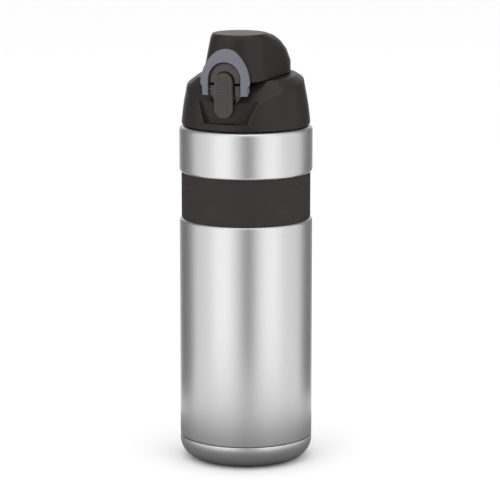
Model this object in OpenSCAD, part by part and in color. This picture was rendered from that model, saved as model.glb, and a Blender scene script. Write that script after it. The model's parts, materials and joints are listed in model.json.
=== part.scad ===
// Vacuum-insulated bicycle bottle with a flip lid, a push button and a swinging lock ring.
// Origin: centre of the base, on the surface the bottle stands on. Front is -Y, up is +Z.

/* [Bottle] */
// Outside diameter of the steel body
body_d = 74; // [68:1:90]
// Height of the top of the steel body
steel_top = 188.5; // [150:0.1:240]
// Thickness of the outer steel wall
outer_wall = 0.4; // [0.3:0.1:1]
// Thickness of the inner steel wall
inner_wall = 0.3; // [0.2:0.1:0.8]
// Vacuum gap between the walls
vacuum_gap = 3.1; // [2:0.1:5]
// Height of the cup that covers the bottom
base_h = 13.4; // [10:0.1:20]
// Radius of the rounded corner of the base cup
base_corner = 10.5; // [6:0.5:11]
// Depth of the recess under the base
base_recess = 1.6; // [1:0.1:3]

/* [Grip band] */
// Distance from the top of the steel body down to the band
band_drop = 25.8; // [18:0.1:40]
// Height of the band
band_h = 25.9; // [16:0.1:40]
// Depth of the groove that holds the band
band_groove = 1.8; // [1:0.1:2.5]
// Thickness of the band
band_t = 0.7; // [0.5:0.1:1]
// Rounding of the steel beside the band
band_lip = 1.8; // [1:0.1:2.5]

/* [Neck and thread] */
// Outside diameter of the neck
neck_d = 53; // [48:0.5:56]
// Height of the neck above the steel body
neck_h = 12.5; // [11:0.1:16]
// Height of one turn of each thread
thread_lead = 8; // [6:0.5:10]
// Height of the thread ridges above the wall that carries them
thread_depth = 1.2; // [0.8:0.1:1.4]
// Gap between the cap thread and the neck
thread_gap = 0.5; // [0.3:0.1:0.8]

/* [Cap] */
// Height of the cap collar above the steel at the middle of its parting line
collar_h = 27.7; // [24:0.1:32]
// Height of the whole cap above the steel
cap_h = 51.9; // [48:0.1:60]
// Slope of the line where the lid meets the collar
parting_tilt = 2.5; // [0:0.1:6]
// Gap between the lid and the collar
parting_gap = 0.3; // [0.2:0.05:0.6]
// Thickness of the deck inside the collar
deck_t = 3.5; // [2.5:0.1:5]
// Thickness of the lid wall
lid_wall = 2.2; // [1.5:0.1:3]

/* [Spout] */
// Outside diameter of the spout
spout_d = 17; // [14:0.5:20]
// Diameter of the drinking bore
spout_bore = 12; // [8:0.5:14]
// Height of the spout above the deck
spout_h = 23.5; // [18:0.5:24]

/* [Button and lock ring] */
// Width of the push button
button_w = 10; // [8:0.1:10.8]
// Length of the push button
button_len = 24.5; // [20:0.1:25]
// Radius of the opening in the lock ring
ring_hole_r = 9.4; // [8.8:0.1:9.8]
// Thickness of the lock ring
ring_t = 1.6; // [1.2:0.1:2]
// Gap between the ring or button and the lid
front_gap = 0.3; // [0.2:0.05:0.5]
// Diameter of the pins that the lock ring turns on
ring_pin_d = 1.2; // [1:0.1:1.6]
// Diameter of the pin that the button rocks on
button_pin_d = 1.4; // [1:0.1:1.6]
// Diameter of the lid hinge pin
hinge_pin_d = 2.6; // [1.8:0.1:3]
// Radial running clearance of every pin
pin_clearance = 0.06; // [0.02:0.01:0.1]

/* [Hidden] */
$fn = 96;
eps = 0.01;
far = 60;

body_r = body_d / 2;
steel_colour = "#b9babb";
black_colour = "#33302d";
soft_colour = "#38352f";
grey_colour = "#55504e";
ring_colour = "#737380";

// Steel vessels
top_edge = 2.8;
shoulder_rise = 0.6;
neck_r = neck_d / 2;
neck_top = steel_top + neck_h;
band_top = steel_top - band_drop;
band_bottom = band_top - band_h;
groove_r = body_r - band_groove;
seam_gap = 0.4;
foot_r = body_r - base_corner;
flask_r = body_r - band_groove - outer_wall - vacuum_gap;
flask_bottom = base_h + 2;
flask_corner = 8;
flask_shoulder = 12;
rim_t = 0.9;
rim_h = 0.6;
flask_neck_r = neck_r - rim_t;
plate_t = 0.6;
plate_z = base_h - 2.4;
plate_top = plate_z + plate_t;
seat_r = body_r - outer_wall - 0.6;
foil_t = 0.1;
getter_r = 4;
getter_h = 1.6;
plug_r = 2.2;
plug_h = 1.2;

// Thread
thread_pitch = thread_lead / 2;
thread_turn = 220;
thread_step = 10;
thread_base = 0.9;
thread_crest = 0.4;
thread_sink = 0.3;
thread_z = steel_top + 5;
insert_bore_r = neck_r + thread_depth + thread_gap;
insert_r = insert_bore_r + 3;
insert_inset = 1.6;
insert_h = neck_h - 1.4;

// Cap collar
collar_bottom = steel_top + 0.3;
collar_r = body_r - 1;
deck_under = neck_top + 2;
deck_top = deck_under + deck_t;
seal_t = deck_under - neck_top;
seal_w = 4;
parting_z = steel_top + collar_h;
well_front_r = body_r - 21.5;
well_front_y = -10.5;
well_rear_r = body_r - 18.4;
well_rear_y = 8.2;
recess_r = body_r - 5.1;
recess_turn = 6;
pocket_low = steel_top + 4.4;
pocket_high = steel_top + 24;
pocket_in = 12.3;
pocket_out = 14.5;
pocket_flare = 0.37;
pocket_face = body_r - 5;
pocket_lean = 17;
facet_r = body_r - 4.4;

// Lid hinge
hinge_y = body_r - 7.5;
hinge_z = steel_top + 25;
hinge_r = 3.1;
hinge_relief = hinge_r + 1.8;
knuckle_in = 4;
knuckle_out = 8;
lug_out = 13.4;
knuckle_gap = 0.3;
pin_r = hinge_pin_d / 2;

// Front faces are turned about the lid hinge, so the lid swings clear of them
face_bow = 50;
face_half = 24;
pad_rho = hinge_y + body_r - 3.8;
ring_in_rho = pad_rho + front_gap;
ring_out_rho = ring_in_rho + ring_t;
plate_depth = 1.2;

// Lock ring outline
ring_pivot_z = steel_top + 23;
ring_pivot_y = 5.6 - body_r;
ring_boss_r = 2.2;
ring_hip = 14.1;
ring_low_z = ring_pivot_z + 3.4;
ring_side_r = 21.4;
ring_high_r = 10;
ring_side_x = ring_side_r - ring_hip;
ring_high_z = ring_low_z + sqrt(pow(ring_side_r - ring_high_r, 2) - pow(ring_side_x, 2));
ring_turn = atan2(ring_high_z - ring_low_z, ring_side_x);
ring_waist = ring_pivot_z + 2.4;
ring_tab_x = 12.9;
ring_foot = ring_pivot_z - 3;
ring_hole_z = ring_low_z + 2.4;
ring_relief = 4.6;
leg_in = ring_hole_r - 0.3;
leg_out = ring_hip + 0.5;

// Button
button_r = button_w / 2;
button_top = ring_hole_z + 3.65;
button_low = button_top - button_len;
button_gap = 0.75;
button_bow = 120;
button_face = body_r - 1;
button_back_r = body_r - 3.3;
button_pin_y = 6.7 - body_r;
button_pin_z = steel_top + 18.5;
button_lug_r = 2;
button_web = 3.2;
button_pin_r = button_pin_d / 2;
lug_x0 = 1.9;
lug_x1 = button_r - 0.6;
boss_gap = 1.5;
boss_lift = -0.2;
ear_in = button_r + button_gap;
ear_out = ring_hole_r - 0.8;
ear_foot = steel_top + 19.8;
pin_out = ear_in + 0.9;
housing_low = steel_top + 15.4;
housing_back = body_r - 10;
housing_web = 0.9;

// Lid: each row is height below the top, front and rear disc radius, and their places along Y
lid_top = steel_top + cap_h;
lid_rows = [
    [0, 14.4, 11, -10.4, -7],
    [0.7, 15, 13, -10.5, -4],
    [2.4, 15.6, 15.5, -11, -0.3],
    [5.7, 15.5, 17.6, -11.9, 4.3],
    [10.7, 15.9, 19.8, -12.9, 7.8],
    [17.3, 17.2, 21.5, -13.8, 9.6],
    [22.5, 18.4, 21.8, -14, 8.8],
    [29, 18.8, 21.8, -14, 8.6]];
lid_grow = body_r - 37;

// Spout and small pieces
spout_y = -3;
spout_r = spout_d / 2;
spout_flange_r = spout_r + 3.6;
spout_flange_t = 1.6;
seal_ring = 1.1;
spout_seat = deck_under - 2 * seal_ring;
spout_top = deck_top + spout_h;
vent_y = 15;
vent_r = 2.6;
gasket_t = 2.4;
liner_t = 1.4;

function arc(cx, cy, r, a0, a1, n = 6) =
    [for (i = [0:n]) let (a = a0 + (a1 - a0) * i / n) [cx + r * cos(a), cy + r * sin(a)]];

// Outline of the outer vessel, moved inwards by t
function vessel(t) = concat(
    [[0, plate_top + t], [seat_r - t, plate_top + t], [seat_r - t, base_h + t]],
    [[body_r - t, base_h + t], [body_r - t, band_bottom - band_lip]],
    arc(body_r - band_lip, band_bottom - band_lip, band_lip - t, 0, 90),
    [[groove_r - t, band_bottom - t], [groove_r - t, band_top + t]],
    arc(body_r - band_lip, band_top + band_lip, band_lip - t, -90, 0),
    arc(body_r - top_edge, steel_top - top_edge, top_edge - t, 0, 90),
    [[neck_r - t, steel_top + shoulder_rise - t], [neck_r - t, neck_top], [0, neck_top]]);

// Outline of the inner vessel, moved inwards by t
function flask(t) = concat(
    [[0, flask_bottom + t]],
    arc(flask_r - flask_corner, flask_bottom + flask_corner, flask_corner - t, -90, 0),
    [[flask_r - t, steel_top - flask_shoulder], [flask_neck_r - t, steel_top - 1]],
    [[flask_neck_r - t, neck_top], [0, neck_top]]);

// A four-sided ridge swept up a helix; out is 1 for an outward ridge and -1 for an inward one
module thread_ridge(r, start, z0, out) {
    steps = thread_turn / thread_step;
    root = r - out * thread_sink;
    crest = r + out * thread_depth;
    shape = [[root, -thread_base], [crest, -thread_crest], [crest, thread_crest], [root, thread_base]];
    points = [for (i = [0:steps], p = shape)
        let (a = start + i * thread_step, z = z0 + thread_lead * i * thread_step / 360 + p[1])
        [p[0] * cos(a), p[0] * sin(a), z]];
    sides = [for (i = [0:steps - 1], k = [0:3])
        let (a = 4 * i + k, b = 4 * i + (k + 1) % 4)
        out > 0 ? [a, b, b + 4, a + 4] : [a, a + 4, b + 4, b]];
    last = 4 * steps;
    ends = out > 0
        ? [[3, 2, 1, 0], [last, last + 1, last + 2, last + 3]]
        : [[0, 1, 2, 3], [last + 3, last + 2, last + 1, last]];
    polyhedron(points, concat(sides, ends));
}

// Everything below the lid's parting surface, moved by dz
module below_parting(dz) {
    translate([0, 0, parting_z + dz])
        rotate([parting_tilt, 0, 0])
        translate([-far, -far, -2 * far])
        cube([2 * far, 2 * far, 2 * far]);
}

module above_parting(dz) {
    translate([0, 0, parting_z + dz])
        rotate([parting_tilt, 0, 0])
        translate([-far, -far, 0])
        cube([2 * far, 2 * far, 2 * far]);
}

// A bowed drum about the lid hinge: all that lies within rho of it
module hinge_drum(rho) {
    translate([0, hinge_y, hinge_z])
        rotate([0, 90, 0])
        rotate_extrude($fn = 240)
        intersection() {
            translate([rho - face_bow, 0]) circle(r = face_bow, $fn = 240);
            translate([0, -face_half]) square([2 * far, 2 * face_half]);
        }
}

// A flat outline in X and Z, pushed along Y from y0 to y1
module front_plate(y0, y1) {
    translate([0, y1, 0]) rotate([90, 0, 0]) linear_extrude(y1 - y0) children();
}

// Outline of the ring without its opening, grown by g: a four-centred arch on two square legs
module ring_outline(g = 0) {
    steps = 10;
    side = ring_side_r + g;
    right = arc(-ring_side_x, ring_low_z, side, 0, ring_turn, steps);
    crown = arc(0, ring_high_z, ring_high_r + g, ring_turn, 180 - ring_turn, 2 * steps);
    left = arc(ring_side_x, ring_low_z, side, 180 - ring_turn, 180, steps);
    hip = ring_hip + g;
    tab = ring_tab_x + g;
    polygon(concat(
        [[tab, ring_foot], [tab, ring_waist - 0.9], [hip, ring_waist + 0.6]],
        right, crown, left,
        [[-hip, ring_waist + 0.6], [-tab, ring_waist - 0.9], [-tab, ring_foot]]));
}

// A slot with a round top
module arch_outline(r, top_z, low_z) {
    translate([0, top_z]) circle(r = r);
    translate([-r, low_z]) square([2 * r, top_z - low_z]);
}

module button_outline(g = 0) {
    r = button_r + g;
    translate([0, button_top - button_r]) circle(r = r);
    translate([0, button_low + button_r]) circle(r = r);
    translate([-r, button_low + button_r]) square([2 * r, button_len - 2 * button_r]);
}

// A rod along X from x0 to x1 through the point y, z
module cross_rod(r, y, z, x0, x1) {
    translate([x0, y, z]) rotate([0, 90, 0]) cylinder(r = r, h = x1 - x0);
}

// The same rod on both sides of the middle
module cross_rods(r, y, z, x0, x1) {
    cross_rod(r, y, z, x0, x1);
    cross_rod(r, y, z, -x1, -x0);
}

// Coil of wire about an axis along X
module coil(r, wire, y, z, half, turns) {
    per_turn = 12;
    steps = turns * per_turn;
    sides = 6;
    points = [for (i = [0:steps], k = [0:sides - 1])
        let (a = 360 * i / per_turn, b = 360 * k / sides, q = r + wire * cos(b))
        [-half + 2 * half * i / steps + wire * sin(b), y + q * cos(a), z + q * sin(a)]];
    walls = [for (i = [0:steps - 1], k = [0:sides - 1])
        let (a = sides * i + k, b = sides * i + (k + 1) % sides)
        [a, b, b + sides, a + sides]];
    first = [for (k = [sides - 1:-1:0]) k];
    last = [for (k = [0:sides - 1]) sides * steps + k];
    polyhedron(points, concat(walls, [first, last]));
}

// ---- steel vessels ----

module outer_shell() {
    color(steel_colour) union() {
        rotate_extrude() difference() {
            polygon(vessel(0));
            polygon(vessel(outer_wall));
            translate([0, neck_top - eps]) square([neck_r - outer_wall, 1]);
            square([seat_r - outer_wall, plate_top + 2 * outer_wall]);
        }
        for (s = [0, 180]) thread_ridge(neck_r, s, thread_z, 1);
    }
}

module base_cup() {
    wall_r = body_r;
    color(steel_colour) rotate_extrude() difference() {
        polygon(concat(
            [[0, base_recess], [foot_r - 3, base_recess], [foot_r - 1.4, 0]],
            arc(wall_r - base_corner, base_corner, base_corner, -90, 0, 10),
            [[wall_r, base_h - seam_gap - 0.5], [wall_r - 0.5, base_h - seam_gap], [0, base_h - seam_gap]]));
        polygon(concat(
            [[0, base_recess + outer_wall], [foot_r - 3, base_recess + outer_wall]],
            [[foot_r - 1.4, outer_wall + 0.2]],
            arc(wall_r - base_corner, base_corner, base_corner - 0.6, -90, 0, 10),
            [[seat_r, base_corner], [seat_r, base_h], [0, base_h]]));
    }
}

module vacuum_bottom() {
    color(steel_colour) difference() {
        translate([0, 0, plate_z]) cylinder(r = body_r - outer_wall - 0.7, h = plate_t);
        translate([0, 0, plate_z - 1]) cylinder(r = plug_r / 2, h = plate_t + 2);
    }
}

module evacuation_plug() {
    color("#a8a9ab") {
        translate([0, 0, plate_z - plug_h]) cylinder(r1 = plug_r * 0.7, r2 = plug_r, h = plug_h);
        translate([0, 0, plate_z - eps]) cylinder(r = plug_r / 2, h = plate_t + eps);
    }
}

module getter() {
    color("#8a8a8c")
        translate([foot_r / 2, 0, plate_z + plate_t])
        cylinder(r = getter_r, h = getter_h);
}

module inner_flask() {
    color("#c8c9ca") rotate_extrude() {
        difference() {
            polygon(flask(0));
            polygon(flask(inner_wall));
            translate([0, neck_top - eps]) square([flask_neck_r - inner_wall, 1]);
        }
        translate([flask_neck_r - inner_wall / 2, neck_top - rim_h])
            square([neck_r - outer_wall - flask_neck_r + inner_wall / 2, rim_h]);
    }
}

module radiation_foil() {
    color("#b87333") rotate_extrude()
        translate([flask_r, flask_bottom + flask_corner])
        square([foil_t, steel_top - flask_shoulder - flask_bottom - flask_corner - 4]);
}

module grip_band() {
    edge = 0.3;
    color(soft_colour) rotate_extrude() polygon([
        [groove_r, band_bottom + 0.05], [groove_r + band_t - edge, band_bottom + 0.05],
        [groove_r + band_t, band_bottom + edge], [groove_r + band_t, band_top - edge],
        [groove_r + band_t - edge, band_top - 0.05], [groove_r, band_top - 0.05]]);
}

// ---- cap collar ----

module neck_seal() {
    color("#d9d6cf") translate([0, 0, neck_top]) difference() {
        cylinder(r = neck_r, h = seal_t);
        translate([0, 0, -1]) cylinder(r = neck_r - seal_w, h = seal_t + 2);
    }
}

// Outline of the collar before anything is cut from it
module collar_form() {
    z = steel_top;
    rotate_extrude() polygon([
        [0, collar_bottom], [collar_r - 1.6, collar_bottom], [collar_r - 0.8, z + 0.6],
        [collar_r - 0.3, z + 1.4], [collar_r - 0.6, z + 4.6], [collar_r - 0.95, z + 7.9],
        [collar_r - 1.4, z + 11.3], [collar_r - 1.95, z + 14.6], [collar_r - 2.6, z + 17.9],
        [collar_r - 3.2, z + 21.3], [collar_r - 3.9, z + 24.8], [collar_r - 4.6, z + 32.8], [0, z + 32.8]]);
}

// Cone about an axis that leans forward: the slope of one part of the collar's shoulder
module shoulder_cone(rise_z, tilt, slope) {
    drop = 34;
    rise = 12;
    translate([0, 0, steel_top + rise_z])
        rotate([tilt, 0, 0])
        translate([0, 0, -drop])
        cylinder(r1 = facet_r + drop / tan(slope), r2 = facet_r - rise / tan(slope), h = drop + rise);
}

// Outline of the recess, half its width at the bottom edge
module pocket_outline(half) {
    wide = half + pocket_flare * (pocket_high - pocket_low);
    polygon([[-half, pocket_low], [half, pocket_low], [wide, pocket_high], [-wide, pocket_high]]);
}

// Floor of the recess: round up to the ears, so that a wall stays over the thread, then drawn in
module recess_floor() {
    translate([0, 0, pocket_low - 1]) cylinder(r = recess_r, h = ear_foot - pocket_low + 1);
    translate([0, 0, ear_foot]) cylinder(r1 = recess_r, r2 = recess_r - recess_turn, h = recess_turn);
}

// Recess in which the ring parks: a flat cut that leans back, and a deeper one inside it
module ring_pocket() {
    difference() {
        intersection() {
            front_plate(-far, -body_r / 2) pocket_outline(pocket_out);
            translate([0, -pocket_face, pocket_low])
                rotate([-pocket_lean, 0, 0])
                translate([-far, -far, -far])
                cube([2 * far, far, 2 * far]);
        }
        recess_floor();
    }
    difference() {
        front_plate(-far, -body_r / 2) pocket_outline(pocket_in);
        recess_floor();
    }
}

// Well over the deck, a little narrower than the lid that closes it
module deck_well() {
    translate([0, 0, deck_top]) hull() {
        translate([0, well_front_y, 0]) cylinder(r = well_front_r, h = far, $fn = 48);
        translate([0, well_rear_y, 0]) cylinder(r = well_rear_r, h = far, $fn = 48);
    }
}

module ring_leg_relief() {
    cross_rods(ring_relief, ring_pivot_y, ring_pivot_z, leg_in, leg_out);
}

module cap_collar() {
    notch_x = knuckle_out + knuckle_gap;
    color(black_colour) difference() {
        union() {
            intersection() {
                collar_form();
                shoulder_cone(28.7, 21.8, 26);
                shoulder_cone(23.7, 6.8, 36);
                below_parting(-parting_gap / 2);
            }
            difference() {
                cross_rods(hinge_r, hinge_y, hinge_z, knuckle_out + knuckle_gap, lug_out);
                deck_well();
            }
        }
        translate([0, 0, collar_bottom - 1]) cylinder(r = insert_r, h = deck_under - collar_bottom + 1);
        deck_well();
        translate([0, spout_y, deck_under - 1]) cylinder(r = spout_r + 0.1, h = deck_t + 2);
        translate([0, vent_y, deck_under - 1]) cylinder(r = vent_r, h = deck_t + 2);
        translate([-notch_x, hinge_y - hinge_r - 1.2, hinge_z - hinge_r - 0.9])
            cube([2 * notch_x, far, far]);
        cross_rods(pin_r, hinge_y, hinge_z, notch_x - 1, lug_out - 1.2);
        ring_pocket();
        ring_leg_relief();
        front_plate(-far, -housing_back) housing_outline();
        difference() {
            cross_rods(hinge_relief, hinge_y, hinge_z, knuckle_out, lug_out + 2);
            cross_rods(hinge_r, hinge_y, hinge_z, knuckle_out - 1, lug_out);
            translate([-far, 0, 0]) cube([2 * far, far, hinge_z + 0.6]);
        }
    }
}

module thread_insert() {
    color("#46423f") intersection() {
        union() {
            difference() {
                translate([0, 0, collar_bottom + insert_inset]) cylinder(r = insert_r, h = insert_h);
                translate([0, 0, collar_bottom - 1]) cylinder(r = insert_bore_r, h = insert_h + 3);
            }
            for (s = [0, 180]) thread_ridge(insert_bore_r, s, thread_z + thread_pitch / 2, -1);
        }
        translate([0, 0, collar_bottom + insert_inset]) cylinder(r = insert_r, h = insert_h);
    }
}

// Opening in the collar's front that the ears fill, narrowing below them
module housing_outline() {
    polygon([
        [-ear_in, housing_low], [ear_in, housing_low], [ear_out, ear_foot], [ear_out, lid_top],
        [-ear_out, lid_top], [-ear_out, ear_foot]]);
}

// Two ears joined by a web: they carry the button pin and the ring pins
module latch_housing() {
    color(grey_colour) difference() {
        intersection() {
            front_plate(-far, -housing_back) housing_outline();
            below_parting(boss_lift - boss_gap / 2);
            hinge_drum(pad_rho);
        }
        translate([-ear_in, -far, housing_low - 1])
            cube([2 * ear_in, far - housing_back - housing_web, far]);
        difference() {
            translate([-far, -far, housing_low - 1]) cube([2 * far, far, ear_foot - housing_low + 1]);
            translate([0, 0, housing_low - 2]) cylinder(r = recess_r, h = far);
        }
        cross_rods(ring_pin_d / 2 + pin_clearance, ring_pivot_y, ring_pivot_z, ear_in + 0.3, ear_out + 1);
        cross_rods(button_pin_r, button_pin_y, button_pin_z, ear_in - 1, pin_out);
    }
}

module spout() {
    lip = 1.2;
    low = spout_seat - deck_under;
    color("#3b3835") difference() {
        union() {
            translate([0, spout_y, spout_seat - spout_flange_t])
                cylinder(r = spout_flange_r, h = spout_flange_t);
            translate([0, spout_y, deck_under]) rotate_extrude() polygon(concat(
                [[0, low - eps], [spout_r, low - eps], [spout_r, deck_t + 3], [spout_r - 1, deck_t + 8]],
                arc(spout_r - lip, deck_t + spout_h - lip, lip, 0, 90),
                [[0, deck_t + spout_h]]));
        }
        translate([0, spout_y, spout_seat - spout_flange_t - 1])
            cylinder(r = spout_bore / 2, h = spout_top - spout_seat + spout_flange_t + 2);
    }
}

module spout_seal() {
    color("#d9d6cf")
        translate([0, spout_y, deck_under - seal_ring])
        rotate_extrude()
        translate([spout_r + seal_ring + 0.1, 0]) circle(r = seal_ring, $fn = 32);
}

module air_vent() {
    hole = 1;
    color("#c9c5bd") translate([0, vent_y, 0]) difference() {
        union() {
            translate([0, 0, deck_under - 1.2]) cylinder(r = vent_r + 1.2, h = 1.2);
            translate([0, 0, deck_under - eps]) cylinder(r = vent_r, h = deck_t + 2 * eps);
            translate([0, 0, deck_top]) cylinder(r1 = vent_r + 0.8, r2 = vent_r, h = 1.4);
        }
        translate([0, 0, deck_under - 2]) cylinder(r = hole, h = deck_t + 5);
    }
}

// ---- lid ----

// Solid form of the lid, moved inwards by t
module lid_form(t, top) {
    hull() for (row = lid_rows) {
        z = min(lid_top - row[0], top);
        translate([0, row[3] + lid_grow / 4, z - 0.2])
            cylinder(r = row[1] + 0.6 * lid_grow - t, h = 0.2, $fn = 48);
        translate([0, row[4], z - 0.2]) cylinder(r = row[2] + lid_grow - t, h = 0.2, $fn = 48);
    }
}

module lid_shell() {
    web_y = hinge_y - hinge_r;
    color(black_colour) difference() {
        union() {
            intersection() {
                union() {
                    lid_form(0, lid_top);
                    front_plate(-body_r, -body_r / 2) ring_outline(-0.5);
                }
                above_parting(parting_gap / 2);
                hinge_drum(pad_rho);
            }
            intersection() {
                union() {
                    cross_rods(hinge_r, hinge_y, hinge_z, knuckle_in, knuckle_out);
                    for (x = [knuckle_in, -knuckle_out])
                        translate([x, web_y, hinge_z]) cube([knuckle_out - knuckle_in, 4.2, 9]);
                }
                translate([-far, web_y - 2, 0]) cube([2 * far, far, lid_top]);
            }
        }
        intersection() {
            lid_form(lid_wall, lid_top - lid_wall);
            translate([-far, -far, 0]) cube([2 * far, far + hinge_y - hinge_r - 0.6, lid_top]);
        }
        cross_rods(pin_r + pin_clearance, hinge_y, hinge_z, knuckle_in - 1, knuckle_out + 1);
        ring_leg_relief();
        difference() {
            front_plate(-body_r, -body_r / 2) arch_outline(ear_out, ring_hole_z, housing_low);
            hinge_drum(pad_rho - plate_depth);
        }
    }
}

module catch_plate() {
    color(grey_colour) intersection() {
        difference() {
            front_plate(-body_r, -body_r / 2) difference() {
                arch_outline(ear_out, ring_hole_z, housing_low);
                button_outline(button_gap);
            }
            hinge_drum(pad_rho - plate_depth);
        }
        hinge_drum(pad_rho);
        above_parting(boss_lift + boss_gap / 2);
    }
}

module lid_liner() {
    color("#4a4642") difference() {
        translate([0, spout_y, spout_top + gasket_t + front_gap]) union() {
            cylinder(r = spout_r + 2.6, h = lid_top - lid_wall - spout_top - gasket_t - front_gap);
            cylinder(r = spout_r + 4, h = liner_t);
        }
        translate([0, spout_y, spout_top + gasket_t + front_gap + liner_t])
            cylinder(r = spout_r + 1.2, h = lid_top - lid_wall - spout_top - gasket_t - liner_t);
    }
}

module lid_gasket() {
    color("#d9d6cf") translate([0, spout_y, spout_top + front_gap]) union() {
        cylinder(r = spout_r + 1, h = gasket_t);
    }
}

module lid_hinge_pin() {
    color("#9a9b9d") cross_rod(pin_r, hinge_y, hinge_z, 1.2 - lug_out, lug_out - 1.2);
}

module lid_spring() {
    wire = 0.35;
    color("#9a9b9d") coil(pin_r + 0.8, wire, hinge_y, hinge_z, knuckle_in - 0.8, 5);
}

// ---- button and lock ring ----

module push_button() {
    color("#484241") difference() {
        union() {
            difference() {
                intersection() {
                    front_plate(-body_r - 4, -body_r / 2) button_outline();
                    cross_rod(button_bow, button_bow - button_face, ring_pivot_z, -far, far, $fn = 360);
                }
                cylinder(r = button_back_r, h = lid_top);
            }
            for (x = [lug_x0, -lug_x1]) {
                cross_rod(button_lug_r, button_pin_y, button_pin_z, x, x + lug_x1 - lug_x0);
                translate([x, -button_back_r - 0.4, button_pin_z - button_web / 2])
                    cube([lug_x1 - lug_x0, button_back_r + 0.4 + button_pin_y, button_web]);
            }
        }
        cross_rods(button_pin_r + pin_clearance, button_pin_y, button_pin_z, lug_x0 - 1, lug_x1 + 0.4);
    }
}

module button_pin() {
    color("#9a9b9d")
        cross_rod(button_pin_r, button_pin_y, button_pin_z, -pin_out, pin_out);
}

module button_spring() {
    wire = 0.25;
    color("#9a9b9d") coil(button_pin_r + 0.5, wire, button_pin_y, button_pin_z, lug_x0 - 0.5, 4);
}

module lock_ring() {
    color(ring_colour) difference() {
        union() {
            difference() {
                intersection() {
                    front_plate(-body_r - 4, -body_r / 2) difference() {
                        ring_outline();
                        arch_outline(ring_hole_r, ring_hole_z, ring_foot - 1);
                    }
                    hinge_drum(ring_out_rho);
                }
                hinge_drum(ring_in_rho);
            }
            cross_rods(ring_boss_r, ring_pivot_y, ring_pivot_z, ring_hole_r + 0.1, ring_tab_x);
        }
        cross_rods(ring_pin_d / 2, ring_pivot_y, ring_pivot_z, ring_hole_r - 1, ring_tab_x - 1);
    }
}

module ring_pins() {
    color("#9a9b9d")
        cross_rods(ring_pin_d / 2, ring_pivot_y, ring_pivot_z, ear_in + 0.5, ring_tab_x - 1);
}

outer_shell();
base_cup();
vacuum_bottom();
evacuation_plug();
getter();
inner_flask();
radiation_foil();
grip_band();
neck_seal();
cap_collar();
thread_insert();
latch_housing();
spout();
spout_seal();
air_vent();
lid_shell();
lid_liner();
lid_gasket();
catch_plate();
lid_hinge_pin();
lid_spring();
push_button();
button_pin();
button_spring();
lock_ring();
ring_pins();
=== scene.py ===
import json
import math

import bmesh
import bpy
from bpy.props import FloatProperty, FloatVectorProperty, PointerProperty
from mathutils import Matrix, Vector


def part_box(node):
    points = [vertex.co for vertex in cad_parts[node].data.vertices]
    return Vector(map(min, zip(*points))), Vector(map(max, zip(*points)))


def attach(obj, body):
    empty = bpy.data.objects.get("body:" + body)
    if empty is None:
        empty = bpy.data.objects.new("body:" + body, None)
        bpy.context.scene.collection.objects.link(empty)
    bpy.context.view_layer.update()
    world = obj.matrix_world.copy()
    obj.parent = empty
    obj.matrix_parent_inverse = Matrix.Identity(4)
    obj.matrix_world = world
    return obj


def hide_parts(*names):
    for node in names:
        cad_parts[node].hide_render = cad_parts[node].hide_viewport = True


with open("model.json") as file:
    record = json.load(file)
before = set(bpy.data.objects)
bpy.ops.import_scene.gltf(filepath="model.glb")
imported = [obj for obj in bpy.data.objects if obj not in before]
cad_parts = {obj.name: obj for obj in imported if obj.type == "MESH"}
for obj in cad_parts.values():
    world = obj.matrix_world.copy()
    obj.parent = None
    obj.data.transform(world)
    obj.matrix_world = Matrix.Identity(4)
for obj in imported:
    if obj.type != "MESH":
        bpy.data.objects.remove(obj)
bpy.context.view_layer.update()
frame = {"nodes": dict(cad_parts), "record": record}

bl_info = {
    "name": "Bicycle Bottle",
    "version": (1, 0, 0),
    "blender": (4, 5, 0),
    "location": "View3D > Sidebar > Bottle",
    "description": "Dresses an insulated bicycle bottle with a flip lid, push button and lock ring",
    "category": "Add Mesh",
}

MM = 0.001
NODES = frame["nodes"]


def low_high(node):
    """Lowest and highest corner of a CAD node."""
    low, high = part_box(node)
    return Vector(low), Vector(high)


SHELL_HIGH = low_high("outer_shell")[1]
CUP_HIGH = low_high("base_cup")[1]
BAND_LOW, BAND_HIGH = low_high("grip_band")
BUTTON_LOW, BUTTON_HIGH = low_high("push_button")


# ---- sizes and colours ----

def length(name, description, default):
    """A small length in metres, shown in the scene's units."""
    return FloatProperty(
        name=name, description=description, default=default, min=0, unit="LENGTH", precision=5)


def colour(name, description, default):
    return FloatVectorProperty(
        name=name, description=description, default=default, size=3, min=0, max=1, subtype="COLOR")


class BottleSizes(bpy.types.PropertyGroup):
    wall: length("Wall", "Thickness of the outer steel wall", 0.4 * MM)
    neck_height: length("Neck height", "Height of the threaded neck over the steel body", 12.5 * MM)
    top_edge: length("Top edge", "Rounding of the steel under the cap", 2.8 * MM)
    band_lip: length("Band lip", "Rounding of the steel beside the band", 1.8 * MM)
    foot_corner: length("Foot corner", "Rounding of the base cup", 10.5 * MM)
    seam: length("Seam", "Width of the groove over the base cup", 0.25 * MM)
    dot_pitch: length("Dot pitch", "Distance between dots round the band", 1.8 * MM)
    dot_rows: length("Dot rows", "Distance between rows of dots", 1.85 * MM)
    dot_wide: length("Dot width", "Half width of a dot on the band", 0.56 * MM)
    dot_tall: length("Dot height", "Half height of a dot on the band", 0.72 * MM)
    dot_rise: length("Dot rise", "How far a dot stands out of the band", 0.16 * MM)
    rib_pitch: length("Rib pitch", "Distance between ribs on the button", 1.12 * MM)
    rib_depth: length("Rib depth", "Depth of the grooves between ribs", 0.3 * MM)
    rib_margin: length("Rib margin", "Smooth border beside the ribs", 0.85 * MM)


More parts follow.
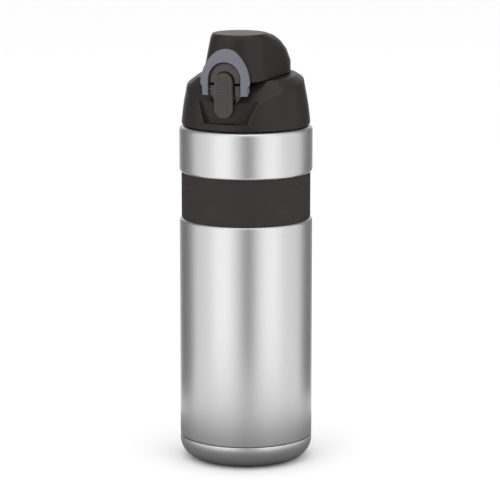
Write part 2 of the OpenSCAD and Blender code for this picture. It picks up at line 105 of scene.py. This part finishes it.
class BottleColours(bpy.types.PropertyGroup):
    steel: colour("Steel", "Brushed steel", (0.585, 0.585, 0.59))
    cap: colour("Cap", "Black moulded plastic", (0.0135, 0.0108, 0.0090))
    band: colour("Band", "Soft band", (0.024, 0.020, 0.019))
    trim: colour("Trim", "Dark grey trim round the button", (0.061, 0.0525, 0.049))
    button: colour("Button", "Ribbed button", (0.055, 0.048, 0.0465))
    ring: colour("Ring", "Lock ring", (0.132, 0.132, 0.162))
    seal: colour("Seal", "Silicone seals", (0.72, 0.70, 0.66))
    copper: colour("Copper", "Foil in the vacuum", (0.72, 0.40, 0.22))
    floor: colour("Floor", "Studio floor", (0.93, 0.93, 0.93))


# ---- stage ----

# Camera: its turn from the bottle's front, its rise, and where it looks
CAMERA_TURN = 20.3
CAMERA_RISE = 11.0
CAMERA_DISTANCE = 1.43
CAMERA_AIM = 0.1175
CAMERA_SIDE = 0.00224
CAMERA_LENS = 184.07
WORLD_STRENGTH = 1.05
OVERHEAD_POWER = 3.0
OVERHEAD_WIDTH = 1.2
OVERHEAD_HEIGHT = 1.3
FLOOR_RADIUS = 4.0
# A hair under the bottle, so that its foot never shares a plane with the floor
FLOOR_LEVEL = -0.0002
# Softboxes: name, turn from the camera, distance, foot, width, height, power
LAMPS = (
    ("left_box", -37, 0.21, 0.0, 0.125, 0.5, 0.11),
    ("right_box", 40, 0.21, 0.0, 0.125, 0.5, 0.10),
)
# Dark cards: name, turn from the camera, distance, width, height, shade
CARDS = (
    ("front_card", 3, 0.19, 0.055, 0.5, 0.02),
    ("left_card", -116, 0.14, 0.12, 0.5, 0.2),
    ("right_card", 122, 0.14, 0.11, 0.5, 0.2),
)
FLOOR_CARD_RADIUS = 0.105
FLOOR_CARD_SHADE = 0.2


# ---- materials ----

class NodeTree:
    """A material being built, with a Principled shader ready."""

    def __init__(self, name, base, roughness, metallic=0.0):
        self.material = bpy.data.materials.new(name + "_finish")
        self.material.use_nodes = True
        self.tree = self.material.node_tree
        self.shader = self.tree.nodes["Principled BSDF"]
        self.shader.inputs["Base Color"].default_value = (*base, 1)
        self.shader.inputs["Roughness"].default_value = roughness
        self.shader.inputs["Metallic"].default_value = metallic
        self.coords = self.tree.nodes.new("ShaderNodeTexCoord").outputs["Object"]

    def link(self, output, target):
        self.tree.links.new(output, target)

    def stretched(self, scale):
        mapping = self.tree.nodes.new("ShaderNodeMapping")
        mapping.inputs["Scale"].default_value = scale
        self.link(self.coords, mapping.inputs["Vector"])
        return mapping.outputs["Vector"]

    def noise(self, scale, detail=2.0, vector=None, roughness=0.5):
        node = self.tree.nodes.new("ShaderNodeTexNoise")
        node.inputs["Scale"].default_value = scale
        node.inputs["Detail"].default_value = detail
        node.inputs["Roughness"].default_value = roughness
        self.link(vector or self.coords, node.inputs["Vector"])
        return node.outputs["Fac"]

    def cells(self, scale):
        node = self.tree.nodes.new("ShaderNodeTexVoronoi")
        node.inputs["Scale"].default_value = scale
        self.link(self.coords, node.inputs["Vector"])
        return node.outputs["Distance"]

    def ramp(self, value, low, high, start=0.0, end=1.0):
        """value from start to end, spread between low and high."""
        node = self.tree.nodes.new("ShaderNodeMapRange")
        node.inputs["From Min"].default_value = start
        node.inputs["From Max"].default_value = end
        node.inputs["To Min"].default_value = low
        node.inputs["To Max"].default_value = high
        self.link(value, node.inputs["Value"])
        return node.outputs["Result"]

    def mix(self, value, dark, light):
        """A colour between dark and light."""
        node = self.tree.nodes.new("ShaderNodeMix")
        node.data_type = "RGBA"
        self.link(value, node.inputs["Factor"])
        node.inputs["A"].default_value = (*dark, 1)
        node.inputs["B"].default_value = (*light, 1)
        return node.outputs["Result"]

    def bump(self, height, depth, strength=1.0, under=None):
        node = self.tree.nodes.new("ShaderNodeBump")
        node.inputs["Strength"].default_value = strength
        node.inputs["Distance"].default_value = depth
        self.link(height, node.inputs["Height"])
        if under:
            self.link(under, node.inputs["Normal"])
        return node.outputs["Normal"]


def shaded(base, amount):
    return tuple(min(1.0, channel * amount) for channel in base)


def brushed_steel(name, base, roughness=0.37, grain=0.05):
    """Steel brushed round its axis: fine rings of grain up the body, with faint clouds."""
    m = NodeTree(name, base, roughness, metallic=1.0)
    rings = m.noise(1.0, 3.0, m.stretched((60, 60, 9000)))
    clouds = m.noise(38.0, 3.0)
    m.link(m.mix(rings, shaded(base, 0.93), shaded(base, 1.05)), m.shader.inputs["Base Color"])
    m.link(m.ramp(rings, roughness - grain, roughness + grain), m.shader.inputs["Roughness"])
    normal = m.bump(rings, 0.006 * MM, 0.6)
    m.link(m.bump(clouds, 0.02 * MM, 0.15, normal), m.shader.inputs["Normal"])
    return m.material


def moulded_plastic(name, base, roughness=0.42, grain=0.010):
    """Plastic from a spark-eroded mould: a fine even grain and slight flow marks."""
    m = NodeTree(name, base, roughness)
    m.shader.inputs["Specular IOR Level"].default_value = 0.25
    speckle = m.noise(5200.0, 2.0)
    flow = m.noise(60.0, 2.0)
    m.link(m.mix(flow, shaded(base, 0.9), shaded(base, 1.12)), m.shader.inputs["Base Color"])
    m.link(m.ramp(flow, roughness - 0.04, roughness + 0.05), m.shader.inputs["Roughness"])
    m.link(m.bump(speckle, grain * MM, 0.7), m.shader.inputs["Normal"])
    return m.material


def soft_rubber(name, base, roughness=0.62):
    """Soft rubber: matte, with a powdery bloom and pores."""
    m = NodeTree(name, base, roughness)
    m.shader.inputs["Specular IOR Level"].default_value = 0.22
    pores = m.cells(2600.0)
    bloom = m.noise(150.0, 4.0)
    m.link(m.mix(bloom, shaded(base, 0.86), shaded(base, 1.16)), m.shader.inputs["Base Color"])
    m.link(m.ramp(bloom, roughness - 0.06, roughness + 0.07), m.shader.inputs["Roughness"])
    m.link(m.bump(pores, 0.01 * MM, 0.4), m.shader.inputs["Normal"])
    return m.material


def silicone(name, base):
    m = NodeTree(name, base, 0.4)
    cloud = m.noise(220.0, 2.0)
    m.shader.inputs["Subsurface Weight"].default_value = 0.25
    m.shader.inputs["Subsurface Scale"].default_value = 1.5 * MM
    m.link(m.mix(cloud, shaded(base, 0.94), shaded(base, 1.04)), m.shader.inputs["Base Color"])
    m.link(m.ramp(cloud, 0.36, 0.46), m.shader.inputs["Roughness"])
    return m.material


def crumpled_foil(name, base):
    m = NodeTree(name, base, 0.25, metallic=1.0)
    crumples_and_pit_shade = m.cells(240.0)
    # The foil is drawn darker towards the pits of the crumples that the bump dents in: painted shade in the
    # hollows.
    m.link(m.mix(crumples_and_pit_shade, shaded(base, 0.85), base), m.shader.inputs["Base Color"])
    m.link(m.bump(crumples_and_pit_shade, 0.15 * MM, 0.6), m.shader.inputs["Normal"])
    return m.material


def studio_paper(name, base):
    m = NodeTree(name, base, 0.85)
    fibre = m.noise(900.0, 2.0)
    m.link(m.bump(fibre, 0.02 * MM, 0.2), m.shader.inputs["Normal"])
    return m.material


MAKERS = {
    "brushed_steel": lambda c: brushed_steel("brushed_steel", c.steel),
    "inner_steel": lambda c: brushed_steel("inner_steel", shaded(c.steel, 1.1), 0.2, 0.03),
    "pin_steel": lambda c: brushed_steel("pin_steel", shaded(c.steel, 0.95), 0.25, 0.04),
    "copper_foil": lambda c: crumpled_foil("copper_foil", c.copper),
    "band_rubber": lambda c: soft_rubber("band_rubber", c.band),
    "seal_rubber": lambda c: silicone("seal_rubber", c.seal),
    "cap_plastic": lambda c: moulded_plastic("cap_plastic", c.cap),
    "insert_plastic": lambda c: moulded_plastic("insert_plastic", shaded(c.cap, 1.3), 0.38),
    "trim_plastic": lambda c: moulded_plastic("trim_plastic", c.trim, 0.45),
    "button_rubber": lambda c: soft_rubber("button_rubber", c.button, 0.55),
    "ring_plastic": lambda c: moulded_plastic("ring_plastic", c.ring, 0.44),
    "studio_paper": lambda c: studio_paper("studio_paper", c.floor),
}


FINISHES = {}


def finish_of(slot):
    """The material of a slot, made the first time that it is asked for."""
    if slot not in FINISHES:
        FINISHES[slot] = MAKERS[slot](bpy.context.scene.bottle_colours)
    return FINISHES[slot]


# ---- mesh tools ----

def link_piece(name, mesh, slot, body, *replaced, sharp=35.0):
    """A new piece with its finish, riding on a body and standing for the CAD nodes replaced."""
    piece = bpy.data.objects.new(name, mesh)
    bpy.context.scene.collection.objects.link(piece)
    mesh.materials.clear()
    mesh.materials.append(finish_of(slot))
    mesh.polygons.foreach_set("use_smooth", [True] * len(mesh.polygons))
    mesh.set_sharp_from_angle(angle=math.radians(sharp))
    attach(piece, body)
    if replaced:
        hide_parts(*replaced)
    return piece


def arc(cx, cy, radius, start, end, steps):
    """Points on a circular arc, in degrees."""
    turn = [math.radians(start + (end - start) * i / steps) for i in range(steps + 1)]
    return [(cx + radius * math.cos(a), cy + radius * math.sin(a)) for a in turn]


def lathe(name, outline, segments=256):
    """A closed outline of (radius, height) turned round the bottle's axis."""
    bm = bmesh.new()
    rings = []
    for radius, height in outline:
        if radius < 1e-7:
            rings.append([bm.verts.new((0, 0, height))])
            continue
        turn = [2 * math.pi * i / segments for i in range(segments)]
        rings.append([bm.verts.new((radius * math.cos(a), radius * math.sin(a), height)) for a in turn])
    for a, b in zip(rings, rings[1:] + rings[:1]):
        if len(a) == 1 and len(b) == 1:
            continue
        for i in range(segments):
            j = (i + 1) % segments
            corners = [a[i % len(a)], a[j % len(a)], b[j % len(b)], b[i % len(b)]]
            unique = list(dict.fromkeys(corners))
            bm.faces.new(unique)
    bmesh.ops.recalc_face_normals(bm, faces=bm.faces)
    mesh = bpy.data.meshes.new(name)
    bm.to_mesh(mesh)
    bm.free()
    return mesh


def evaluated(name, mesh, build):
    """The mesh that the modifiers added by build leave."""
    scratch = bpy.data.objects.new(name + "_scratch", mesh)
    bpy.context.scene.collection.objects.link(scratch)
    build(scratch.modifiers)
    graph = bpy.context.evaluated_depsgraph_get()
    made = bpy.data.meshes.new_from_object(scratch.evaluated_get(graph))
    bpy.data.objects.remove(scratch)
    made.name = name
    return made


def softened(name, node, voxel, passes):
    """A copy of a CAD node with every edge rounded, as a mould leaves it."""
    def build(modifiers):
        remesh = modifiers.new("remesh", "REMESH")
        remesh.mode = "VOXEL"
        remesh.voxel_size = voxel
        remesh.use_smooth_shade = True
        smooth = modifiers.new("smooth", "SMOOTH")
        smooth.factor = 0.5
        smooth.iterations = passes
    return evaluated(name, NODES[node].data.copy(), build)


# ---- operators ----

class BOTTLE_OT_steel_body(bpy.types.Operator):
    """Turn the steel body, its groove for the band and its threaded neck"""
    bl_idname = "bottle.steel_body"
    bl_label = "Steel body"

    def execute(self, context):
        sizes = context.scene.bottle_sizes
        radius = SHELL_HIGH.x
        foot = CUP_HIGH.z + sizes.seam
        groove = radius - sizes.band_lip
        neck = low_high("neck_seal")[1].x
        rim = SHELL_HIGH.z
        top = rim - sizes.neck_height
        shoulder = top + 0.6 * MM
        lip = sizes.band_lip
        edge = sizes.top_edge

        def outline(t):
            return [
                *arc(radius - 0.5 * MM, foot + 0.5 * MM, 0.5 * MM - min(t, 0.4 * MM), -60, 0, 4),
                (radius - t, BAND_LOW.z - lip),
                *arc(radius - lip, BAND_LOW.z - lip, lip - t, 8, 90, 8),
                (groove - t, BAND_LOW.z - t), (groove - t, BAND_HIGH.z + t),
                *arc(radius - lip, BAND_HIGH.z + lip, lip - t, -90, -8, 8),
                (radius - t, BAND_HIGH.z + lip),
                *arc(radius - edge, top - edge, edge - t, 0, 82, 8),
                (neck + 1.2 * MM, shoulder - t), (neck - t, shoulder + 0.4 * MM - t), (neck - t, rim)]

        mesh = lathe("steel_body", outline(0) + outline(sizes.wall)[::-1])
        link_piece("steel_body", mesh, "brushed_steel", "flask", "outer_shell", sharp=50)
        self.thread(context, neck, top)
        return {"FINISHED"}

    def thread(self, context, neck, top):
        """Two rounded ridges that climb the neck."""
        lead, rise, steps = 8 * MM, 1.2 * MM, 88
        sweep = math.radians(220)
        root, foot = 0.2 * MM, 0.9 * MM
        bm = bmesh.new()
        for start in (0, math.pi):
            rows = []
            for i in range(steps + 1):
                turn = sweep * i / steps
                fade = min(1.0, i / 6, (steps - i) / 6)
                z = top + 5 * MM + lead * turn / (2 * math.pi)
                side = (rise * 0.8 * fade, 0.5 * MM)
                shape = [
                    (-root, -foot), (0.0, -foot), (side[0], -side[1]), (rise * fade, 0.0),
                    side, (0.0, foot), (-root, foot)]
                a = start + turn
                rows.append([
                    bm.verts.new(((neck + r) * math.cos(a), (neck + r) * math.sin(a), z + h))
                    for r, h in shape])
            for a, b in zip(rows, rows[1:]):
                for k in range(len(a)):
                    n = (k + 1) % len(a)
                    bm.faces.new((a[k], a[n], b[n], b[k]))
            bm.faces.new(rows[0])
            bm.faces.new(rows[-1])
        bmesh.ops.recalc_face_normals(bm, faces=bm.faces)
        mesh = bpy.data.meshes.new("neck_thread")
        bm.to_mesh(mesh)
        bm.free()
        link_piece("neck_thread", mesh, "brushed_steel", "flask")


class BOTTLE_OT_base_cup(bpy.types.Operator):
    """Turn the base cup with its rounded corner and recessed foot"""
    bl_idname = "bottle.base_cup"
    bl_label = "Base cup"

    def execute(self, context):
        sizes = context.scene.bottle_sizes
        radius, top = CUP_HIGH.x, CUP_HIGH.z
        corner = sizes.foot_corner
        foot = radius - corner
        recess = 1.6 * MM
        wall = 0.6 * MM
        outside = [
            (0, recess), (foot - 3.4 * MM, recess), (foot - 2.6 * MM, recess * 0.8),
            (foot - 1.8 * MM, recess * 0.25),
            *arc(foot - 0.2 * MM, 0.9 * MM, 0.9 * MM, -120, -90, 4),
            *arc(foot, corner, corner, -88, 0, 22),
            (radius, top - 0.5 * MM), (radius - 0.12 * MM, top - 0.15 * MM), (radius - 0.45 * MM, top)]
        inside = [
            (radius - 1.1 * MM, top), (radius - 1.1 * MM, corner),
            *arc(foot, corner, corner - wall, 0, -80, 16), (foot - 3 * MM, recess + wall), (0, recess + wall)]
        mesh = lathe("base_cup_skin", outside + inside)
        link_piece("base_cup_skin", mesh, "brushed_steel", "flask", "base_cup", sharp=50)
        return {"FINISHED"}


class BOTTLE_OT_grip_band(bpy.types.Operator):
    """Lay the soft band in its groove, with rows of raised dots"""
    bl_idname = "bottle.grip_band"
    bl_label = "Grip band"

    def execute(self, context):
        sizes = context.scene.bottle_sizes
        radius, low, high = BAND_HIGH.x, BAND_LOW.z, BAND_HIGH.z
        skin = radius - sizes.dot_rise
        inner = radius - 0.7 * MM
        edge = 0.3 * MM
        mesh = lathe("grip_band_skin", [
            (inner, low), *arc(skin - edge, low + edge, edge, -90, 0, 4),
            *arc(skin - edge, high - edge, edge, 0, 90, 4), (inner, high)])
        bm = bmesh.new()
        bm.from_mesh(mesh)
        count = round(2 * math.pi * radius / sizes.dot_pitch)
        rows = int((high - low - 2 * MM) / sizes.dot_rows) + 1
        first = (low + high) / 2 - (rows - 1) * sizes.dot_rows / 2
        for row in range(rows):
            for i in range(count):
                turn = 2 * math.pi * (i + 0.5 * (row % 2)) / count
                self.dot(bm, sizes, skin, turn, first + row * sizes.dot_rows)
        bm.to_mesh(mesh)
        bm.free()
        link_piece("grip_band_skin", mesh, "band_rubber", "flask", "grip_band", sharp=60)
        return {"FINISHED"}

    def dot(self, bm, sizes, skin, turn, z):
        """A low dome on the band's skin; its foot lies just under the skin."""
        around = 10
        levels = ((1.0, -0.08), (0.8, 0.62), (0.45, 0.93))
        rings = []
        for share, rise in levels:
            ring = []
            for k in range(around):
                a = 2 * math.pi * k / around
                spot = turn + share * sizes.dot_wide * math.cos(a) / skin
                r = skin + rise * sizes.dot_rise
                ring.append(bm.verts.new(
                    (r * math.cos(spot), r * math.sin(spot), z + share * sizes.dot_tall * math.sin(a))))
            rings.append(ring)
        top = skin + sizes.dot_rise
        crown = bm.verts.new((top * math.cos(turn), top * math.sin(turn), z))
        for a, b in zip(rings, rings[1:]):
            for k in range(around):
                n = (k + 1) % around
                bm.faces.new((a[k], a[n], b[n], b[k]))
        for k in range(around):
            bm.faces.new((rings[-1][k], rings[-1][(k + 1) % around], crown))
        bm.faces.new(rings[0][::-1])


class BOTTLE_OT_collar(bpy.types.Operator):
    """Mould the black collar of the cap"""
    bl_idname = "bottle.collar"
    bl_label = "Collar"

    def execute(self, context):
        mesh = softened("collar_skin", "cap_collar", 0.33 * MM, 3)
        link_piece("collar_skin", mesh, "cap_plastic", "collar", "cap_collar", sharp=70)
        return {"FINISHED"}


class BOTTLE_OT_lid(bpy.types.Operator):
    """Mould the flip lid"""
    bl_idname = "bottle.lid"
    bl_label = "Lid"

    def execute(self, context):
        mesh = softened("lid_skin", "lid_shell", 0.3 * MM, 6)
        link_piece("lid_skin", mesh, "cap_plastic", "lid", "lid_shell", sharp=70)
        return {"FINISHED"}


class BOTTLE_OT_latch_trim(bpy.types.Operator):
    """Mould the dark grey ears and the arch round the button"""
    bl_idname = "bottle.latch_trim"
    bl_label = "Latch trim"

    def execute(self, context):
        ears = softened("latch_ears", "latch_housing", 0.12 * MM, 2)
        link_piece("latch_ears", ears, "trim_plastic", "collar", "latch_housing", sharp=70)
        arch = softened("catch_arch", "catch_plate", 0.12 * MM, 2)
        link_piece("catch_arch", arch, "trim_plastic", "lid", "catch_plate", sharp=70)
        return {"FINISHED"}


class BOTTLE_OT_push_button(bpy.types.Operator):
    """Mould the push button and press its ribs into the face"""
    bl_idname = "bottle.push_button"
    bl_label = "Push button"

    def execute(self, context):
        sizes = context.scene.bottle_sizes
        mesh = softened("button_skin", "push_button", 0.1 * MM, 5)
        half = (BUTTON_HIGH.x - BUTTON_LOW.x) / 2
        upper, lower = BUTTON_HIGH.z - half, BUTTON_LOW.z + half
        for vertex, normal in zip(mesh.vertices, [v.normal.copy() for v in mesh.vertices]):
            if normal.y > -0.6:
                continue
            spot = vertex.co
            past = max(spot.z - upper, lower - spot.z, 0.0)
            inside = half - math.hypot(spot.x, past) - sizes.rib_margin
            fade = min(1.0, max(0.0, inside / (0.35 * MM)))
            wave = 0.5 - 0.5 * math.cos(2 * math.pi * (spot.z - lower) / sizes.rib_pitch)
            spot.y += sizes.rib_depth * fade * wave ** 1.5
        mesh.update()
        link_piece("button_skin", mesh, "button_rubber", "button", "push_button", sharp=80)
        return {"FINISHED"}


class BOTTLE_OT_lock_ring(bpy.types.Operator):
    """Mould the lock ring"""
    bl_idname = "bottle.lock_ring"
    bl_label = "Lock ring"

    def execute(self, context):
        mesh = softened("lock_ring_skin", "lock_ring", 0.13 * MM, 5)
        link_piece("lock_ring_skin", mesh, "ring_plastic", "ring", "lock_ring", sharp=80)
        return {"FINISHED"}


class BOTTLE_OT_inner_parts(bpy.types.Operator):
    """Finish the pieces that keep their CAD shape"""
    bl_idname = "bottle.inner_parts"
    bl_label = "Inner parts"

    def execute(self, context):
        slots = {part["node"]: part["material_slot"] for part in frame["record"]["subparts"]}
        for node, piece in NODES.items():
            for place in piece.material_slots:
                place.material = finish_of(slots[node])
        return {"FINISHED"}


class BOTTLE_OT_stage(bpy.types.Operator):
    """Set the floor, the soft lights and the camera"""
    bl_idname = "bottle.stage"
    bl_label = "Stage"

    def execute(self, context):
        scene = context.scene
        scene.view_settings.view_transform = "Standard"
        self.floor()
        self.world(scene)
        heading = math.radians(CAMERA_TURN)
        for name, turn, distance, low, width, height, power in LAMPS:
            self.softbox(name, heading + math.radians(turn), distance, low, width, height, power)
        for name, turn, distance, width, height, shade in CARDS:
            self.card(name, heading + math.radians(turn), distance, width, height, shade)
        self.floor_card()
        self.top_light()
        self.camera(scene, heading)
        return {"FINISHED"}

    def floor(self):
        bm = bmesh.new()
        bmesh.ops.create_circle(bm, cap_ends=True, segments=96, radius=FLOOR_RADIUS)
        mesh = bpy.data.meshes.new("studio_floor")
        bm.to_mesh(mesh)
        bm.free()
        mesh.materials.append(finish_of("studio_paper"))
        floor = bpy.data.objects.new("studio_floor", mesh)
        floor.location.z = FLOOR_LEVEL
        bpy.context.scene.collection.objects.link(floor)

    def world(self, scene):
        scene.world = bpy.data.worlds.new("studio")
        scene.world.use_nodes = True
        sky = scene.world.node_tree.nodes["Background"]
        sky.inputs["Color"].default_value = (1, 1, 1, 1)
        sky.inputs["Strength"].default_value = WORLD_STRENGTH

    def softbox(self, name, heading, distance, low, width, height, power):
        lamp = bpy.data.lights.new(name, "AREA")
        lamp.shape = "RECTANGLE"
        lamp.size, lamp.size_y = width, height
        lamp.energy = power
        box = bpy.data.objects.new(name, lamp)
        bpy.context.scene.collection.objects.link(box)
        place = Vector((math.sin(heading) * distance, -math.cos(heading) * distance, low + height / 2))
        box.location = place
        away = Vector((place.x, place.y, 0)).normalized()
        box.rotation_euler = away.to_track_quat("Z", "Y").to_euler()
        box.visible_camera = False

    def card(self, name, heading, distance, width, height, shade):
        """A dark card on its edge beside the bottle."""
        half = width / 2
        corners = [(-half, 0, 0), (half, 0, 0), (half, 0, height), (-half, 0, height)]
        card = self.flat_card(name, corners, shade)
        card.location = (math.sin(heading) * distance, -math.cos(heading) * distance, 0)
        card.rotation_euler = (0, 0, heading)

    def floor_card(self):
        """A dark disc under the bottle, which deepens the reflection in its rounded foot."""
        turn = [2 * math.pi * i / 64 for i in range(64)]
        rim = [(FLOOR_CARD_RADIUS * math.cos(a), FLOOR_CARD_RADIUS * math.sin(a), 0) for a in turn]
        self.flat_card("floor_card", rim, FLOOR_CARD_SHADE).location.z = FLOOR_LEVEL / 2

    def flat_card(self, name, corners, shade):
        """A dark face that shows only in reflections, as a studio sets beside polished metal."""
        bm = bmesh.new()
        bm.faces.new([bm.verts.new(corner) for corner in corners])
        mesh = bpy.data.meshes.new(name)
        bm.to_mesh(mesh)
        bm.free()
        mesh.materials.append(studio_paper(name, (shade, shade, shade)))
        card = bpy.data.objects.new(name, mesh)
        bpy.context.scene.collection.objects.link(card)
        card.visible_camera = card.visible_diffuse = card.visible_shadow = False
        return card

    def top_light(self):
        lamp = bpy.data.lights.new("overhead", "AREA")
        lamp.shape = "DISK"
        lamp.size = OVERHEAD_WIDTH
        lamp.energy = OVERHEAD_POWER
        box = bpy.data.objects.new("overhead", lamp)
        bpy.context.scene.collection.objects.link(box)
        box.location = (0, 0, OVERHEAD_HEIGHT)
        box.visible_camera = False

    def camera(self, scene, heading):
        lens = bpy.data.cameras.new("studio_camera")
        lens.sensor_width = 36
        lens.lens = CAMERA_LENS
        lens.clip_end = 20
        eye = bpy.data.objects.new("studio_camera", lens)
        scene.collection.objects.link(eye)
        rise = math.radians(CAMERA_RISE)
        level = math.cos(rise)
        out = Vector((math.sin(heading) * level, -math.cos(heading) * level, math.sin(rise)))
        side = Vector((math.cos(heading), math.sin(heading), 0))
        aim = Vector((0, 0, CAMERA_AIM)) + side * CAMERA_SIDE
        eye.location = aim + out * CAMERA_DISTANCE
        eye.rotation_euler = out.to_track_quat("Z", "Y").to_euler()
        scene.camera = eye


class BOTTLE_PT_sidebar(bpy.types.Panel):
    """Lists the bottle's pieces"""
    bl_idname = "BOTTLE_PT_sidebar"
    bl_label = "Bicycle Bottle"
    bl_space_type = "VIEW_3D"
    bl_region_type = "UI"
    bl_category = "Bottle"

    def draw(self, context):
        for operator in OPERATORS:
            self.layout.operator(operator.bl_idname)
        for group in (context.scene.bottle_sizes, context.scene.bottle_colours):
            box = self.layout.box()
            for name in group.__annotations__:
                box.prop(group, name)


OPERATORS = (
    BOTTLE_OT_inner_parts, BOTTLE_OT_steel_body, BOTTLE_OT_base_cup, BOTTLE_OT_grip_band,
    BOTTLE_OT_collar, BOTTLE_OT_lid, BOTTLE_OT_latch_trim, BOTTLE_OT_push_button,
    BOTTLE_OT_lock_ring, BOTTLE_OT_stage)
CLASSES = (BottleSizes, BottleColours, *OPERATORS, BOTTLE_PT_sidebar)


def register():
    for kind in CLASSES:
        bpy.utils.register_class(kind)
    bpy.types.Scene.bottle_sizes = PointerProperty(type=BottleSizes)
    bpy.types.Scene.bottle_colours = PointerProperty(type=BottleColours)


def unregister():
    del bpy.types.Scene.bottle_colours
    del bpy.types.Scene.bottle_sizes
    for kind in reversed(CLASSES):
        bpy.utils.unregister_class(kind)


def main():
    register()
    for operator in OPERATORS:
        group, call = operator.bl_idname.split(".")
        if getattr(getattr(bpy.ops, group), call)() != {"FINISHED"}:
            raise RuntimeError(f"{operator.bl_label} didn't finish")
    bpy.context.view_layer.update()


if __name__ == "__main__":
    main()
